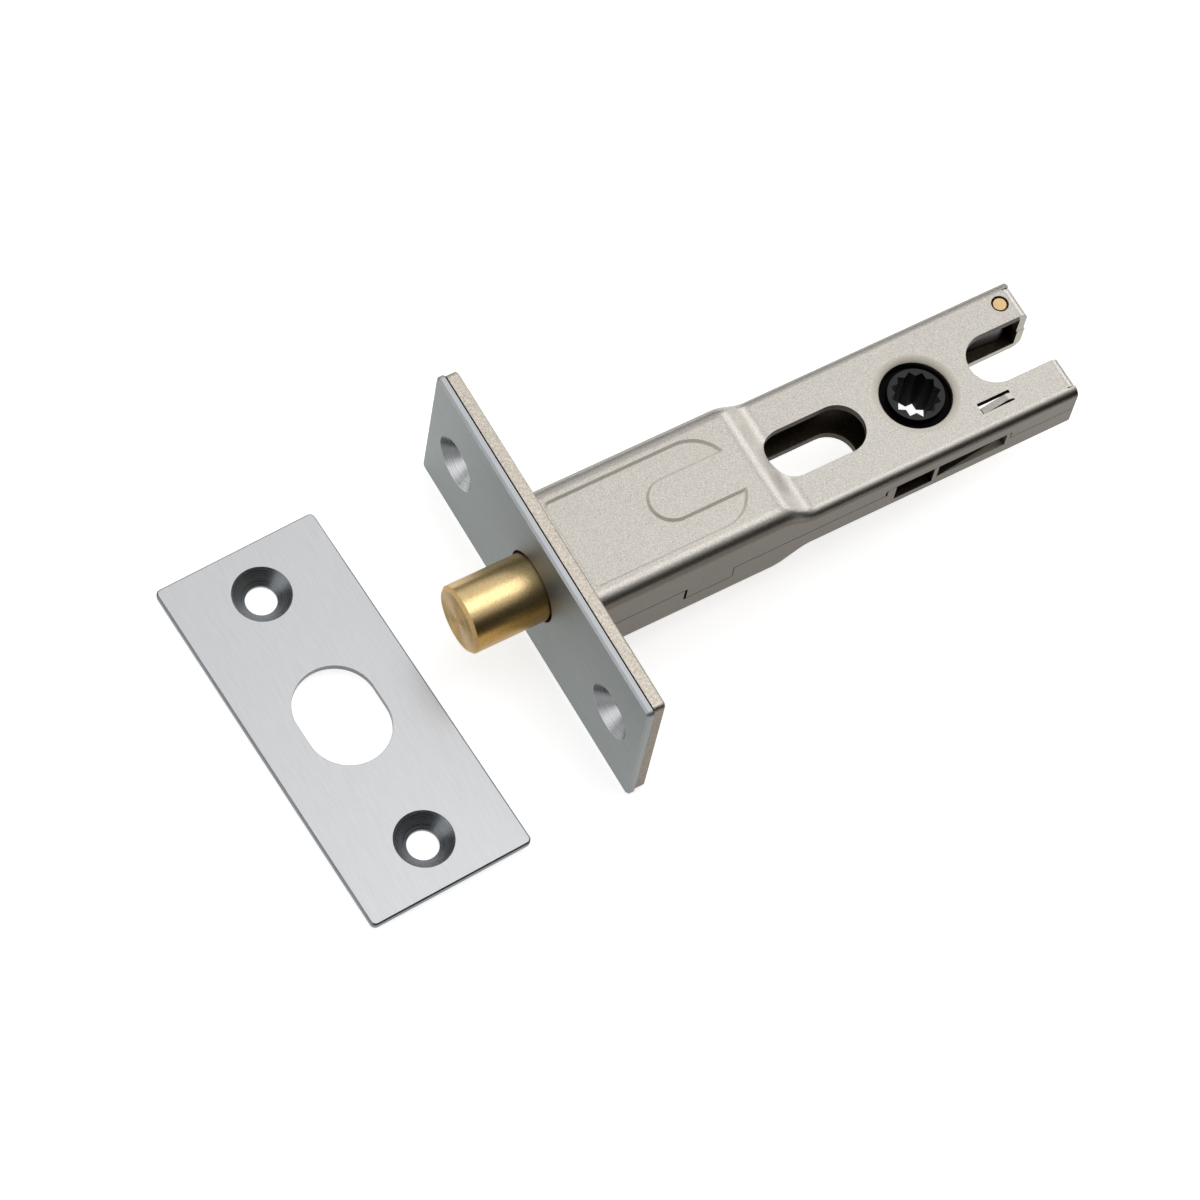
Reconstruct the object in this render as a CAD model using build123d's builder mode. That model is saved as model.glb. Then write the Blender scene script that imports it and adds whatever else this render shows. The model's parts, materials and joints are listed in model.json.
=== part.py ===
from build123d import *
from math import cos, radians, sin, tan
import os

# A privacy bolt for a hinged door, with its strike plate beside it.
# The origin is the centre of the faceplate's front face, on the axis of the bolt.
# +X runs into the door, +Y along the faceplate, +Z across the faceplate.
# The bolt is drawn thrown. All sizes are in millimetres. A lead is a distance ahead of the
# spindle's axis and a reach one behind it.

# Faceplate and the backing plate behind it
plate_length = 57.0
plate_width = 25.0
plate_corner_radius = 0.8
faceplate_thickness = 1.2
faceplate_edge_chamfer = 0.3
faceplate_back_chamfer = 0.2
backing_thickness = 1.8
backing_end_inset = 0.3
backing_edge_chamfer = 0.25
plate_screw_spacing = 42.0

# Wood-screw holes, pressed as conical dimples in the faceplate and the strike plate
screw_hole_radius = 2.25
screw_head_radius = 4.2
countersink_angle = 90.0
dimple_depth = 2.4
dimple_wall = 1.1
dimple_clearance = 0.15

# Pressed case: two shells that meet on the bolt's axis plane
case_half_width = 10.0
front_height = 7.6
rear_height = 4.6
front_corner_radius = 2.2
rear_corner_radius = 1.4
sheet = 1.2
step_start = 32.9
step_end = 38.9
step_stations = 4
side_wall_reach = 20.65
upper_end_reach = 21.05
lower_end_reach = 21.35
end_bend_radius = 1.6
end_slit = 0.12

# Side seam between the shells, its tab, and the windows in the side walls
seam_gap = 0.12
seam_tab_start = 18.7
seam_tab_end = 26.0
seam_tab_depth = 2.5
seam_tab_radius = 0.35
seam_tab_nick = 0.4
small_window_lead = 8.65
small_window_length = 6.2
small_window_depth = 2.1
long_window_lead = 1.75
long_window_length = 11.2
long_window_depth = 1.4
window_rise = 1.4
front_post_width = 1.7
front_post_radius = 0.8
front_post_gap = 0.35
rear_post_width = 0.7

# Horseshoe recess pressed into the front of each shell
recess_depth = 0.4
recess_start = 5.15
recess_end = 30.85
recess_half_width = 6.85
recess_front_radius = 0.6
recess_rear_radius = 5.35
recess_wall_angle = 40.0
tongue_half_width = 3.45
tongue_nose = 17.55

# Openings through the rear of the case
slot_start = 36.5
slot_lead = 8.75
slot_half_width = 3.83
notch_reach = 8.8
notch_half_width = 3.95

# Tenons that stake the shells into the backing plate
tenon_offset = 5.0
tenon_half_width = 1.8
tenon_clearance = 0.05

# Lanced pip beside the rear notch
lance_reach = 6.65
lance_length = 5.2
lance_side_inset = 3.05
lance_finger_width = 1.0
lance_near_gap = 0.25
lance_slit = 0.5
lance_drop = 0.9
lance_rise = 0.25
lance_crest = 0.9

# Follower and its plunged bearing collars
backset = 60.65
spindle_square = 5.05
spindle_squares = 3
journal_radius = 4.95
journal_clearance = 0.08
collar_wall = 1.0
collar_length = 0.9
collar_rim_radius = 1.15
crown_radius = 4.05
crown_sink = 0.2
shoulder_sink = 1.5
cam_radius = 6.0
cam_flat = 5.75
cam_relief = 5.05
cam_end_play = 0.25
quarter_turn = 90.0

# Finger of the follower
finger_reach = 7.7
finger_nose_radius = 0.9
finger_neck_half_width = 0.5
finger_root_half_width = 0.9
finger_half_height = 1.6

# Bolt and the rivets in its tail
bolt_radius = 5.0
bolt_projection = 11.5
bolt_rear_end = 20.0
bolt_nose_chamfer = 0.45
faceplate_hole_clearance = 0.35
backing_hole_clearance = 0.2
bolt_flat_start = 12.4
bolt_flat_offset = 3.2
rivet_positions = (14.4, 18.2)
rivet_radius = 1.15
rivet_head_radius = 1.7
rivet_head_height = 0.6

# Steel strap from the bolt to the follower's finger
strap_thickness = 1.2
strap_half_height = 2.6
strap_front_gap = 0.2
strap_side_clearance = 0.3
strap_jog_start = 21.5
strap_jog_end = 26.0
strap_bend_radius = 1.5
lug_thickness = 1.2
lug_tip_offset = 5.9
lug_half_height = 1.7
lug_play = 0.5
strap_window_half_height = 1.9
strap_end_margin = 0.4

# Moulded guide behind the backing plate
guide_front_gap = 0.1
guide_end = 12.0
guide_side_clearance = 0.3
guide_top_clearance = 0.4
guide_bolt_clearance = 0.1
guide_corner_radius = 1.0

# Rear rivet and the leaf spring that it anchors
rear_rivet_reach = 18.1
rear_rivet_wall_clearance = 0.25
rear_rivet_radius = 1.15
rear_rivet_clearance = 0.1
rear_rivet_sink = 0.15
rear_rivet_chamfer = 0.2
spring_thickness = 0.35
spring_half_height = 1.9
spring_root_half_height = 3.1
spring_root_reach = 7.35
spring_loop_clearance = 0.1
spring_seat_reach = 9.35
spring_lead = 8.15
spring_curl_length = 1.5
spring_curl_lift = 0.8
spring_play = 0.1

# Strike plate, lying flat on the surface that the faceplate's long edge stands on
strike_thickness = 1.0
strike_x = -29.1
strike_y = -1.27
strike_turn = 2.62
strike_slot_width = 12.0
strike_slot_length = 15.3
strike_edge_chamfer = 0.2

# Places that follow from the sizes above
backing_length = plate_length - 2 * backing_end_inset
side_wall_end = backset + side_wall_reach
upper_end_wall = backset + upper_end_reach
lower_end_wall = backset + lower_end_reach
small_window_start = backset - small_window_lead
small_window_end = small_window_start + small_window_length
long_window_start = backset - long_window_lead
long_window_end = long_window_start + long_window_length
slot_end = backset - slot_lead
notch_inner_end = backset + notch_reach
lance_start = backset + lance_reach
lance_end = lance_start + lance_length
rear_rivet_x = backset + rear_rivet_reach
spring_root_start = backset + spring_root_reach
spring_seat_x = backset + spring_seat_reach
spring_end_x = backset - spring_lead
case_front = faceplate_thickness + backing_thickness
cavity_half_width = case_half_width - sheet
strap_offset = cavity_half_width - strap_side_clearance
guide_half_width = cavity_half_width - guide_side_clearance
lance_near_side = case_half_width - lance_side_inset
spring_loop_outer = rear_rivet_radius + spring_loop_clearance + spring_thickness
rear_rivet_y = cavity_half_width - rear_rivet_wall_clearance - spring_loop_outer
half_turn = radians(quarter_turn / 2)
countersink_slope = tan(radians(countersink_angle / 2))
nose_x = backset - finger_reach * sin(half_turn)
nose_y = -finger_reach * cos(half_turn)
collar_inner_z = rear_height - sheet - collar_length
cam_half_height = collar_inner_z - cam_end_play
hub_hole_radius = journal_radius + journal_clearance
crown_z = rear_height - crown_sink
shoulder_z = rear_height - shoulder_sink
lug_inner = finger_nose_radius + lug_play
lug_outer = lug_inner + lug_thickness
strap_inner = strap_offset - strap_thickness
rear_post_end = long_window_end + rear_post_width
front_post_start = small_window_start - front_post_width
recess_floor = front_height - recess_depth
guide_half_height = recess_floor - sheet - guide_top_clearance


def dimple_radius(depth):
    """Outer radius of a dimple at the given depth below the plate's face."""
    return screw_head_radius + dimple_wall - depth * countersink_slope


def dimpled_holes(planes):
    """Screw holes on the given planes, each with its rim pressed down to a cone."""
    with Locations(*planes):
        Cone(
            dimple_radius(dimple_depth),
            dimple_radius(0),
            dimple_depth,
            align=(Align.CENTER, Align.CENTER, Align.MAX),
        )
        CounterSinkHole(
            radius=screw_hole_radius,
            counter_sink_radius=screw_head_radius,
            depth=dimple_depth,
            counter_sink_angle=countersink_angle,
        )


def front_screw_planes(x):
    """Planes across the two screw holes of the faceplate, facing out of the door."""
    half = plate_screw_spacing / 2
    return [Plane(origin=(x, y, 0), z_dir=(-1, 0, 0)) for y in (half, -half)]


def half_section(x, drop, height, radius, inset):
    """Cross-section of a shell at x: a bar with its two top corners rounded."""
    with BuildSketch(Plane.YZ.offset(x)) as section:
        with Locations((0, -drop)):
            Rectangle(
                2 * (case_half_width - inset),
                height - inset + drop,
                align=(Align.CENTER, Align.MIN),
            )
        fillet(section.vertices().group_by(Axis.Y)[-1], radius - inset)
    return section.sketch


def stepped_form(drop, inset, mode):
    """Outer form of a shell, or its cavity when inset by the sheet."""
    front = half_section(case_front, drop, front_height, front_corner_radius, inset)
    extrude(front, amount=step_start - case_front, mode=mode)
    rear = half_section(step_end, drop, rear_height, rear_corner_radius, inset)
    extrude(rear, amount=side_wall_end - step_end, mode=mode)
    sections = []
    for station in range(step_stations + 1):
        share = station / step_stations
        ease = (1 - cos(radians(180 * share))) / 2
        height = front_height + ease * (rear_height - front_height)
        radius = front_corner_radius + ease * (rear_corner_radius - front_corner_radius)
        x = step_start + share * (step_end - step_start)
        sections.append(half_section(x, drop, height, radius, inset))
    loft(sections, mode=mode)


def horseshoe():
    """Outline of the pressed recess at its floor."""
    rear = recess_end
    side = recess_half_width
    radius = recess_rear_radius
    with BuildSketch(Plane.XY.offset(recess_floor)) as shape:
        with BuildLine():
            Polyline(
                (rear - radius, side),
                (recess_start, side),
                (recess_start, -side),
                (rear - radius, -side),
            )
            CenterArc((rear - radius, radius - side), radius, -90, 90)
            Line((rear, radius - side), (rear, side - radius))
            CenterArc((rear - radius, side - radius), radius, 0, 90)
        make_face()
        fillet(shape.vertices().group_by(Axis.X)[0], recess_front_radius)
        with Locations((tongue_nose + tongue_half_width, 0)):
            Circle(tongue_half_width, mode=Mode.SUBTRACT)
            Rectangle(
                recess_end - tongue_nose,
                2 * tongue_half_width,
                align=(Align.MIN, Align.CENTER),
                mode=Mode.SUBTRACT,
            )
    return shape.sketch


def pressed_recess():
    """Bulge the sheet below the horseshoe, then sink the horseshoe into it."""
    outline = horseshoe()
    extrude(outline, amount=-sheet)
    extrude(outline, amount=recess_depth, taper=-recess_wall_angle, mode=Mode.SUBTRACT)


def end_flange(end_wall):
    """End wall folded down from the top sheet, free of the side walls."""
    half = cavity_half_width - end_slit
    lap = end_wall - end_bend_radius - sheet
    with BuildSketch(Plane.XZ.offset(-half)) as profile:
        with BuildLine():
            Polyline(
                (lap, rear_height),
                (end_wall, rear_height),
                (end_wall, seam_gap / 2),
                (end_wall - sheet, seam_gap / 2),
                (end_wall - sheet, rear_height - sheet),
                (lap, rear_height - sheet),
                close=True,
            )
        make_face()
        corner = profile.vertices().group_by(Axis.X)[-1].sort_by(Axis.Y)[-1]
        fillet(corner, end_bend_radius)
    extrude(profile.sketch, amount=2 * half)


def rear_openings():
    """Fixing slot, rear notch and rivet hole, cut through the top sheet."""
    notch_centre = notch_inner_end + notch_half_width
    with BuildSketch(Plane.XY) as openings:
        with Locations(((slot_start + slot_end) / 2, 0)):
            SlotOverall(slot_end - slot_start, 2 * slot_half_width)
        with Locations((notch_centre, 0)):
            Circle(notch_half_width)
            Rectangle(
                2 * (lower_end_wall - notch_centre),
                2 * notch_half_width,
                align=(Align.MIN, Align.CENTER),
            )
        with Locations((rear_rivet_x, rear_rivet_y)):
            Circle(rear_rivet_radius + rear_rivet_clearance)
    extrude(openings.sketch, amount=front_height, mode=Mode.SUBTRACT)


def bearing_collar():
    """Follower hole with its edge plunged inwards as a bearing."""
    base = Plane.XY.offset(collar_inner_z)
    with BuildSketch(base) as collar:
        with Locations((backset, 0)):
            Circle(hub_hole_radius + collar_wall)
    extrude(collar.sketch, amount=rear_height - collar_inner_z - sheet / 2)
    with BuildSketch(base) as hole:
        with Locations((backset, 0)):
            Circle(hub_hole_radius)
    extrude(hole.sketch, amount=rear_height, mode=Mode.SUBTRACT)


def shell_blank(drop, end_wall):
    """Pressed shell with its openings, before the seam is trimmed."""
    stepped_form(drop, 0, Mode.ADD)
    stepped_form(drop, sheet, Mode.SUBTRACT)
    bend_start = end_wall - end_bend_radius
    with BuildSketch(Plane.XY.offset(rear_height / 2)) as gap:
        with Locations((bend_start, 0)):
            Rectangle(2 * end_bend_radius, 2 * cavity_half_width, align=(Align.MIN, Align.CENTER))
    extrude(gap.sketch, amount=rear_height, mode=Mode.SUBTRACT)
    end_flange(end_wall)
    pressed_recess()
    bearing_collar()
    rear_openings()
    with BuildSketch(Plane.YZ.offset(faceplate_thickness)) as tenons:
        with Locations((tenon_offset, front_height - sheet / 2), (-tenon_offset, front_height - sheet / 2)):
            Rectangle(2 * tenon_half_width, sheet)
    extrude(tenons.sketch, amount=backing_thickness)


def round_collar_rim(part):
    """Round the edge where the top sheet turns down into the collar."""
    rims = part.edges().filter_by(GeomType.CIRCLE).filter_by(
        lambda edge: abs(edge.radius - hub_hole_radius) < 0.01
    )
    fillet(rims.sort_by(Axis.Z)[-1], collar_rim_radius)


def cut_sides(points):
    """Cut the closed outline, drawn in the XZ plane, through both side walls."""
    with BuildSketch(Plane.XZ.offset(-2 * case_half_width)) as outline:
        with BuildLine():
            Polyline(*points, close=True)
        make_face()
    extrude(outline.sketch, amount=4 * case_half_width, mode=Mode.SUBTRACT)


def round_side_corners(part, x, z, radius):
    """Round the corners of both side walls at the given place."""
    corners = part.edges().filter_by(Axis.Y).filter_by(
        lambda edge: abs(edge.center().X - x) < 0.01 and abs(edge.center().Z - z) < 0.01
    )
    fillet(corners, radius)


# Faceplate: satin forend with a fine bevel round its front edge and dimpled screw holes
with BuildPart() as faceplate:
    with BuildSketch(Plane.YZ):
        RectangleRounded(plate_length, plate_width, plate_corner_radius)
        Circle(bolt_radius + faceplate_hole_clearance, mode=Mode.SUBTRACT)
    extrude(amount=faceplate_thickness)
    front_rim = faceplate.faces().sort_by(Axis.X)[0].outer_wire().edges()
    chamfer(front_rim, faceplate_edge_chamfer)
    back_rim = faceplate.faces().sort_by(Axis.X)[-1].outer_wire().edges()
    chamfer(back_rim, faceplate_back_chamfer)
    dimpled_holes(front_screw_planes(0))
faceplate.part.label = "faceplate"

# Backing plate: takes the bolt, the dimples of the faceplate and the tenons of the case
with BuildPart() as backing_plate:
    with BuildSketch(Plane.YZ.offset(faceplate_thickness)):
        RectangleRounded(backing_length, plate_width, plate_corner_radius)
        Circle(bolt_radius + backing_hole_clearance, mode=Mode.SUBTRACT)
        with GridLocations(2 * tenon_offset, 2 * front_height - sheet, 2, 2):
            Rectangle(
                2 * (tenon_half_width + tenon_clearance),
                sheet + 2 * tenon_clearance,
                mode=Mode.SUBTRACT,
            )
    extrude(amount=backing_thickness)
    rear_rim = backing_plate.faces().sort_by(Axis.X)[-1].outer_wire().edges()
    chamfer(rear_rim, backing_edge_chamfer)
    with Locations(*front_screw_planes(faceplate_thickness)):
        Cone(
            dimple_radius(case_front) + dimple_clearance,
            dimple_radius(faceplate_thickness) + dimple_clearance,
            backing_thickness,
            align=(Align.CENTER, Align.CENTER, Align.MAX),
            mode=Mode.SUBTRACT,
        )
backing_plate.part.label = "backing_plate"

# Upper shell: a tab on each side wall reaches below the seam
with BuildPart() as case_upper:
    shell_blank(seam_tab_depth, upper_end_wall)
    seam = seam_gap / 2
    window_top = window_rise + seam
    below = -2 * seam_tab_depth
    past_end = side_wall_end + sheet
    cut_sides(
        [
            (0, seam),
            (seam_tab_start, seam),
            (seam_tab_start, below),
            (0, below),
        ]
    )
    cut_sides(
        [
            (seam_tab_end, seam),
            (front_post_start, seam),
            (front_post_start, window_top),
            (rear_post_end, window_top),
            (rear_post_end, seam),
            (past_end, seam),
            (past_end, below),
            (seam_tab_end, below),
        ]
    )
    round_side_corners(case_upper, seam_tab_end, -seam_tab_depth, seam_tab_radius)
    round_side_corners(case_upper, front_post_start, window_top, front_post_radius)
    lance_middle = lance_near_side - (lance_near_gap + lance_finger_width + lance_slit) / 2
    with BuildSketch(Plane.XY.offset(rear_height / 2)) as lance_cut:
        with Locations((lance_start, -lance_middle)):
            Rectangle(
                lance_end - lance_start,
                2 * (lance_near_side - lance_middle),
                align=(Align.MIN, Align.CENTER),
            )
    extrude(lance_cut.sketch, amount=rear_height, mode=Mode.SUBTRACT)
    with BuildSketch(Plane.XZ.offset(lance_near_side - lance_near_gap)) as lance_side:
        with BuildLine():
            tip = lance_start + lance_slit
            crest = lance_end - lance_crest
            under = rear_height - sheet
            Polyline(
                (lance_end, rear_height),
                (crest, rear_height + lance_rise),
                (tip, rear_height - lance_drop),
                (tip, under - lance_drop),
                (crest, under + lance_rise),
                (lance_end, under),
                close=True,
            )
        make_face()
    extrude(lance_side.sketch, amount=-lance_finger_width)
    round_collar_rim(case_upper)
case_upper.part.label = "case_upper"

# Lower shell: built like the upper one and turned over; its posts frame the windows
with BuildPart() as case_lower:
    shell_blank(window_rise, lower_end_wall)
    post_corner = front_post_start + front_post_gap
    nick_start = seam_tab_start - seam_tab_nick
    tab_relief = seam_tab_depth + seam_gap
    tab_relief_end = seam_tab_end + seam_gap
    above = -2 * window_rise
    past_end = side_wall_end + sheet
    cut_sides(
        [
            (0, seam_gap / 2),
            (nick_start, seam_gap / 2),
            (nick_start, tab_relief),
            (tab_relief_end, tab_relief),
            (tab_relief_end, seam_gap / 2),
            (post_corner, seam_gap / 2),
            (post_corner, above),
            (0, above),
        ]
    )
    cut_sides(
        [
            (small_window_start, above),
            (small_window_start, small_window_depth),
            (small_window_end, small_window_depth),
            (small_window_end, above),
        ]
    )
    cut_sides(
        [
            (long_window_start, above),
            (long_window_start, long_window_depth),
            (long_window_end, long_window_depth),
            (long_window_end, above),
        ]
    )
    cut_sides(
        [
            (rear_post_end - seam_gap, above),
            (rear_post_end - seam_gap, seam_gap / 2),
            (past_end, seam_gap / 2),
            (past_end, above),
        ]
    )
    round_side_corners(case_lower, tab_relief_end, tab_relief, seam_tab_radius + seam_gap)
    round_side_corners(case_lower, post_corner, -window_rise, front_post_radius - front_post_gap)
    round_collar_rim(case_lower)
    mirror(about=Plane.XY, mode=Mode.REPLACE)
case_lower.part.label = "case_lower"

# Bolt: turned bar with its tail milled flat for the strap
with BuildPart() as bolt:
    with BuildSketch(Plane.YZ.offset(-bolt_projection)):
        Circle(bolt_radius)
    extrude(amount=bolt_projection + bolt_rear_end)
    nose_rim = bolt.edges().filter_by(GeomType.CIRCLE).sort_by(Axis.X)[0]
    chamfer(nose_rim, bolt_nose_chamfer)
    with BuildSketch(Plane.YZ.offset(bolt_flat_start)):
        with Locations((bolt_flat_offset, 0)):
            Rectangle(bolt_radius, 2 * bolt_radius, align=(Align.MIN, Align.CENTER))
        with Locations((-bolt_flat_offset, 0)):
            Rectangle(bolt_radius, 2 * bolt_radius, align=(Align.MAX, Align.CENTER))
    extrude(amount=bolt_rear_end, mode=Mode.SUBTRACT)
    with BuildSketch(Plane.XZ.offset(-bolt_radius)):
        with Locations(*[(x, 0) for x in rivet_positions]):
            Circle(rivet_radius)
    extrude(amount=2 * bolt_radius, mode=Mode.SUBTRACT)
bolt.part.label = "bolt"

# Tail strap: jogs out beside the follower and ends in two lugs round its finger
with BuildPart() as bolt_tail:
    strap_start = bolt_flat_start + strap_front_gap
    near_y = -bolt_flat_offset - strap_thickness / 2
    far_y = -strap_inner - strap_thickness / 2
    strap_end = nose_x + lug_outer + strap_end_margin
    with BuildSketch(Plane.XY.offset(-strap_half_height)) as strap:
        with BuildLine() as centreline:
            Polyline(
                (strap_start, near_y),
                (strap_jog_start, near_y),
                (strap_jog_end, far_y),
                (strap_end, far_y),
            )
            fillet(centreline.vertices().sort_by(Axis.X)[1:3], strap_bend_radius)
        trace(line_width=strap_thickness)
    extrude(amount=2 * strap_half_height)
    with BuildSketch(Plane.XZ.offset(strap_inner)):
        with Locations((nose_x, 0)):
            Rectangle(2 * lug_inner, 2 * strap_window_half_height)
    extrude(amount=2 * strap_thickness, both=True, mode=Mode.SUBTRACT)
    with BuildSketch(Plane.XZ.offset(lug_tip_offset)):
        with Locations((nose_x - (lug_inner + lug_outer) / 2, 0), (nose_x + (lug_inner + lug_outer) / 2, 0)):
            Rectangle(lug_thickness, 2 * lug_half_height)
    extrude(amount=strap_inner - lug_tip_offset + strap_thickness / 2)
    with BuildSketch(Plane.XZ.offset(-bolt_radius)):
        with Locations(*[(x, 0) for x in rivet_positions]):
            Circle(rivet_radius)
    extrude(amount=2 * bolt_radius, mode=Mode.SUBTRACT)
bolt_tail.part.label = "bolt_tail"

# Rivets through the strap and the milled tail of the bolt
with BuildPart() as tail_rivets:
    head_y = bolt_flat_offset
    foot_y = -bolt_flat_offset - strap_thickness
    with BuildSketch(Plane.XZ.offset(-head_y)):
        with Locations(*[(x, 0) for x in rivet_positions]):
            Circle(rivet_radius)
    extrude(amount=head_y - foot_y)
    with BuildSketch(Plane.XZ.offset(-head_y)):
        with Locations(*[(x, 0) for x in rivet_positions]):
            Circle(rivet_head_radius)
    extrude(amount=-rivet_head_height)
    with BuildSketch(Plane.XZ.offset(-foot_y)):
        with Locations(*[(x, 0) for x in rivet_positions]):
            Circle(rivet_head_radius)
    extrude(amount=rivet_head_height)
tail_rivets.part.label = "tail_rivets"

# Follower: cam disc between two journals, crowns, star-shaped bore and finger
with BuildPart() as follower:
    hub = Plane(origin=(backset, 0, 0))
    with BuildSketch(hub.offset(-cam_half_height)) as cam:
        Circle(cam_radius)
        with Locations((cam_flat, 0)):
            Rectangle(cam_radius, 2 * cam_radius, align=(Align.MIN, Align.CENTER), mode=Mode.SUBTRACT)
        with Locations((0, cam_flat)):
            Rectangle(2 * cam_radius, cam_radius, align=(Align.CENTER, Align.MIN), mode=Mode.SUBTRACT)
        with Locations(Location((0, 0), -quarter_turn / 2)):
            with Locations((0, -cam_relief)):
                Rectangle(
                    2 * cam_radius,
                    cam_radius,
                    align=(Align.CENTER, Align.MAX),
                    mode=Mode.SUBTRACT,
                )
    extrude(amount=2 * cam_half_height)
    with BuildSketch(hub):
        Circle(journal_radius)
    extrude(amount=shoulder_z, both=True)
    with BuildSketch(hub):
        Circle(crown_radius)
    extrude(amount=crown_z, both=True)
    with BuildSketch(hub):
        with BuildLine(Plane(origin=(0, 0, 0), x_dir=(-sin(half_turn), -cos(half_turn), 0))):
            Polyline(
                (0, -finger_root_half_width),
                (journal_radius, -finger_root_half_width),
                (finger_reach, -finger_neck_half_width),
                (finger_reach, finger_neck_half_width),
                (journal_radius, finger_root_half_width),
                (0, finger_root_half_width),
                close=True,
            )
        make_face()
        with Locations((nose_x - backset, nose_y)):
            Circle(finger_nose_radius)
    extrude(amount=finger_half_height, both=True)
    step_angle = quarter_turn / spindle_squares
    star_turns = [Location((0, 0), count * step_angle) for count in range(spindle_squares)]
    with BuildSketch(hub):
        with Locations(*star_turns):
            Rectangle(spindle_square, spindle_square)
    extrude(amount=crown_z, both=True, mode=Mode.SUBTRACT)
follower.part.label = "follower"

# Moulded guide that carries the bolt behind the backing plate
with BuildPart() as bolt_guide:
    with BuildSketch(Plane.YZ.offset(case_front + guide_front_gap)):
        RectangleRounded(2 * guide_half_width, 2 * guide_half_height, guide_corner_radius)
        Circle(bolt_radius + guide_bolt_clearance, mode=Mode.SUBTRACT)
    extrude(amount=guide_end - case_front - guide_front_gap)
bolt_guide.part.label = "bolt_guide"

# Rear rivet that clamps the shells together
with BuildPart() as case_rivet:
    rivet_half = rear_height - rear_rivet_sink
    with Locations((rear_rivet_x, rear_rivet_y)):
        Cylinder(rear_rivet_radius, 2 * rivet_half)
    chamfer(case_rivet.edges().filter_by(GeomType.CIRCLE), rear_rivet_chamfer)
case_rivet.part.label = "case_rivet"

# Leaf spring that snaps onto the two flats of the cam
with BuildPart() as detent_spring:
    loop_inner = rear_rivet_radius + spring_loop_clearance
    loop_radius = loop_inner + spring_thickness / 2
    spring_y = cam_radius + spring_play + spring_thickness / 2
    with BuildSketch(Plane.XY.offset(-spring_root_half_height)):
        with BuildLine():
            Polyline(
                (rear_rivet_x, rear_rivet_y - loop_radius),
                (spring_seat_x, spring_y),
                (spring_end_x, spring_y),
                (spring_end_x - spring_curl_length, spring_y + spring_curl_lift),
            )
        trace(line_width=spring_thickness)
        with Locations((rear_rivet_x, rear_rivet_y)):
            Circle(loop_inner + spring_thickness)
            Circle(loop_inner, mode=Mode.SUBTRACT)
    extrude(amount=2 * spring_root_half_height)
    with BuildSketch(Plane.XZ.offset(-case_half_width)):
        root_edge = (spring_root_half_height + spring_half_height) / 2
        with Locations((spring_root_start, root_edge), (spring_root_start, -root_edge)):
            Rectangle(
                spring_root_start,
                spring_root_half_height - spring_half_height,
                align=(Align.MAX, Align.CENTER),
            )
    extrude(amount=case_half_width, mode=Mode.SUBTRACT)
detent_spring.part.label = "detent_spring"

# Strike plate: rests on its two dimples, round-ended bolt hole between them
with BuildPart() as strike_plate:
    turned = radians(strike_turn)
    strike_top = dimple_depth - plate_width / 2
    lying = Plane(
        origin=(strike_x, strike_y, strike_top),
        x_dir=(-sin(turned), cos(turned), 0),
        z_dir=(0, 0, 1),
    )
    with BuildSketch(lying):
        RectangleRounded(plate_length, plate_width, plate_corner_radius)
        SlotOverall(strike_slot_length, strike_slot_width, mode=Mode.SUBTRACT)
    extrude(amount=-strike_thickness)
    top_rim = strike_plate.faces().sort_by(Axis.Z)[-1].outer_wire().edges()
    chamfer(top_rim, strike_edge_chamfer)
    half_spacing = plate_screw_spacing / 2
    dimpled_holes([lying * Pos(x, 0, 0) for x in (half_spacing, -half_spacing)])
strike_plate.part.label = "strike_plate"

os.makedirs("parts", exist_ok=True)
for piece in (
    faceplate,
    backing_plate,
    case_upper,
    case_lower,
    bolt,
    bolt_tail,
    tail_rivets,
    follower,
    bolt_guide,
    case_rivet,
    detent_spring,
    strike_plate,
):
    export_step(piece.part, f"parts/{piece.part.label}.step")
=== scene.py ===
# %% [markdown]
# # A privacy bolt and its strike plate
#
# The object is a small steel and brass mechanism for a bathroom door. A round brass bolt slides
# in a pressed nickel-plated case, behind a satin steel faceplate. The strike plate lies beside
# it. The solids come from the CAD model, so this script gives them their finishes, the marks
# that machining leaves, the light and the camera.

import json
import math

import bmesh
import bpy
from mathutils import Matrix, Vector


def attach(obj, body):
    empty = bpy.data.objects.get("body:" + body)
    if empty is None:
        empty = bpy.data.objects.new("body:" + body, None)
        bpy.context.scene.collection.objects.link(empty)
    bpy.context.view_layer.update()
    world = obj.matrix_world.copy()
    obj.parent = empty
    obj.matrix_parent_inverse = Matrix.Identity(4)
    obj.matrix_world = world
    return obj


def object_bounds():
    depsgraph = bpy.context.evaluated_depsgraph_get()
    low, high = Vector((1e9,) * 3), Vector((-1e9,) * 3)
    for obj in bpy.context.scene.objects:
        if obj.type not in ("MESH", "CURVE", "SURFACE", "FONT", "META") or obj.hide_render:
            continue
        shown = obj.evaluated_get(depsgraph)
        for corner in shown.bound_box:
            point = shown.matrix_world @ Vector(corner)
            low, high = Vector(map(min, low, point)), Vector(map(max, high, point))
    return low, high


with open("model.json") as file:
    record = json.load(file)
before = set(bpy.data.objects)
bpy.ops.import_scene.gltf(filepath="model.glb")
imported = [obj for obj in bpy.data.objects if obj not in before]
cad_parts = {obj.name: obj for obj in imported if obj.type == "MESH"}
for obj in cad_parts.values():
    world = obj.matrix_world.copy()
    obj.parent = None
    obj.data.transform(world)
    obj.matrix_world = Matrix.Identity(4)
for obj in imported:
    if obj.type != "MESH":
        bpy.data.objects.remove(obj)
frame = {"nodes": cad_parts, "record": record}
nodes = frame["nodes"]
cad_box = [list(corner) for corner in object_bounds()]
MM = 0.001

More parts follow.
